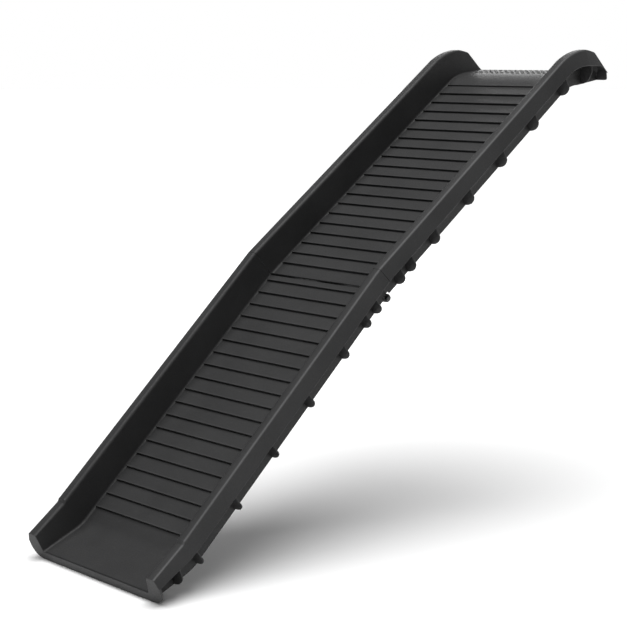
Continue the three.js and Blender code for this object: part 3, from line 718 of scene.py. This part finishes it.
def make_lip():
    """Front flange of the foot: a U-shaped plate, widely rounded at its two lower corners."""
    outline = rounded(both_sides([
        (DECK_HALF, 0, 6),
        (RAIL_INNER, RAIL_HEIGHT - 0.5, 8),
        (RAIL_OUTER, RAIL_HEIGHT - 0.5, 7),
        (SKIRT_EDGE - 0.5, SKIRT_BOTTOM, 6),
        (SKIRT_EDGE - 3, -LIP_DEPTH, 28),
    ]), 9)
    tube = carry(outline, [LOWER_END - LIP_THICKNESS, LOWER_END + LIP_PROUD], LOWER)
    # Painted highlight: the whole lip is coloured a little paler.
    piece("foot_lip", [tube], LOWER, bevel=1.1, painted_light=np.full(2 * len(outline), 0.06))


def make_tip():
    """The wall that closes the landing's nose, and the small plate that closes each rail there."""
    wall = box_outline(-DECK_HALF - 1, DECK_HALF + 1, 0.8 - SIDE_DEPTH, -0.5)
    tubes = [carry(wall, [UPPER_END - TIP_WALL, UPPER_END - 0.5], UPPER)]
    tubes += rail_plates(UPPER_END - TIP_PLATE_INSET, TIP_PLATE_RADIUS, UPPER)
    piece("landing_tip_walls", tubes, UPPER, bevel=0.5)


make_shell("lower_shell", LOWER, "lower_panel")
make_slats("lower_slats", LOWER, LOWER_FIRST_RISER, LOWER_SLATS, -DECK_GAP / 2)
make_ribs("lower_cross_ribs", LOWER, LOWER_RIB_RUNS)
make_long_ribs("lower_long_ribs", LOWER)
make_knuckles("lower_knuckle", LOWER, LOWER_KNUCKLES)
make_seats("foot_pad_seats", LOWER, FOOT_SEAT)
make_lip()

make_shell("upper_shell", UPPER, "upper_panel")
make_slats("upper_slats", UPPER, UPPER_FIRST_RISER, UPPER_SLATS, UPPER_STRAIGHT)
make_slab()
make_studs()
make_ribs("upper_cross_ribs", UPPER, UPPER_RIB_RUNS)
make_long_ribs("upper_long_ribs", UPPER)
make_knuckles("upper_knuckle", UPPER, UPPER_KNUCKLES)
make_seats("landing_pad_seats", UPPER, LANDING_SEAT)
make_tip()


# ---- Frame nodes that stay: the rod, its caps, the pads and their screws ----

FINISH_OF_NODE = {
    "hinge_rod": STEEL,
    "rod_cap": CAP,
    "foot_pad": RUBBER,
    "foot_pad_screw": STEEL,
    "landing_pad": RUBBER,
    "landing_pad_screw": STEEL,
}


def finish_nodes():
    """Gives each kept node the finish of the longest name that its own name starts with."""
    for name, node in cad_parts.items():
        kinds = [kind for kind in FINISH_OF_NODE if name.startswith(kind)]
        if kinds:
            node.data.materials.clear()
            node.data.materials.append(FINISH_OF_NODE[max(kinds, key=len)])


finish_nodes()


# ---- Studio ----

def area_light(name, place_at, aim, size, power):
    light = bpy.data.lights.new(name, "AREA")
    light.shape = "RECTANGLE"
    light.size, light.size_y = size
    light.energy = power
    lamp = add_object(name, light)
    lamp.location = place_at
    lamp.rotation_euler = (Vector(aim) - Vector(place_at)).to_track_quat("-Z", "Y").to_euler()


def sun_light(name, towards, spread, strength):
    """Even light over the whole floor, as soft as its spread in degrees."""
    light = bpy.data.lights.new(name, "SUN")
    light.angle = math.radians(spread)
    light.energy = strength
    lamp = add_object(name, light)
    lamp.rotation_euler = Vector(towards).to_track_quat("-Z", "Y").to_euler()


def make_horizon():
    """A low round wall that glows white, far behind everything: the side of a cylinder."""
    turn = np.linspace(0, 2 * math.pi, HORIZON_SIDES, endpoint=False)
    ring = HORIZON_REACH * np.stack([np.cos(turn), np.sin(turn)], 1)
    corners = [(x, y, z) for z in (0, HORIZON_RISE) for x, y in ring.tolist()]
    low = np.arange(HORIZON_SIDES)
    following = np.roll(low, -1)
    quads = np.stack([low, low + HORIZON_SIDES, following + HORIZON_SIDES, following], 1)
    mesh = bpy.data.meshes.new("horizon")
    mesh.from_pydata(corners, [], quads.tolist())
    glow = bpy.data.materials.new("white glow")
    glow.use_nodes = True
    tree = glow.node_tree
    emission = add_node(tree, "ShaderNodeEmission", {"Color": (1, 1, 1, 1), "Strength": 1.0})
    tree.links.new(emission.outputs["Emission"], tree.nodes["Material Output"].inputs["Surface"])
    mesh.materials.append(glow)
    horizon = add_object("horizon", mesh)
    horizon.visible_shadow = False


def make_floor():
    """A flat floor that reaches past everything in view."""
    mesh = bpy.data.meshes.new("floor")
    corners = [(x * FLOOR_REACH, y * FLOOR_REACH, 0) for x, y in ((-1, -1), (1, -1), (1, 1), (-1, 1))]
    mesh.from_pydata(corners, [], [(0, 1, 2, 3)])
    mesh.materials.append(pale_floor("pale studio floor"))
    floor = add_object("floor", mesh)


def make_sky():
    world = bpy.data.worlds.new("white studio")
    world.use_nodes = True
    background = world.node_tree.nodes["Background"]
    background.inputs["Color"].default_value = (1, 1, 1, 1)
    background.inputs["Strength"].default_value = SKY_STRENGTH
    bpy.context.scene.world = world


def make_camera():
    lens = bpy.data.cameras.new("camera")
    lens.lens = LENS
    lens.sensor_width = SENSOR_WIDTH
    lens.clip_end = 200
    camera = add_object("camera", lens)
    camera.location = PIN + Vector(CAMERA_FROM_PIN)
    camera.rotation_euler = Vector(CAMERA_FORWARD).to_track_quat("-Z", "Y").to_euler()
    bpy.context.scene.camera = camera


make_floor()
make_horizon()
make_sky()
make_camera()
sun_light("high soft key", (-0.02, 0.06, -1), 58, 3.3)
area_light("back softbox", (-2.6, 3.4, 2.4), (0, 0.4, 0.8), (2.4, 1.6), 54)
area_light("front card", (0.6, -3.0, 0.5), (0, -0.6, 0.2), (1.6, 0.8), 3)
bpy.context.scene.view_settings.view_transform = "Standard"
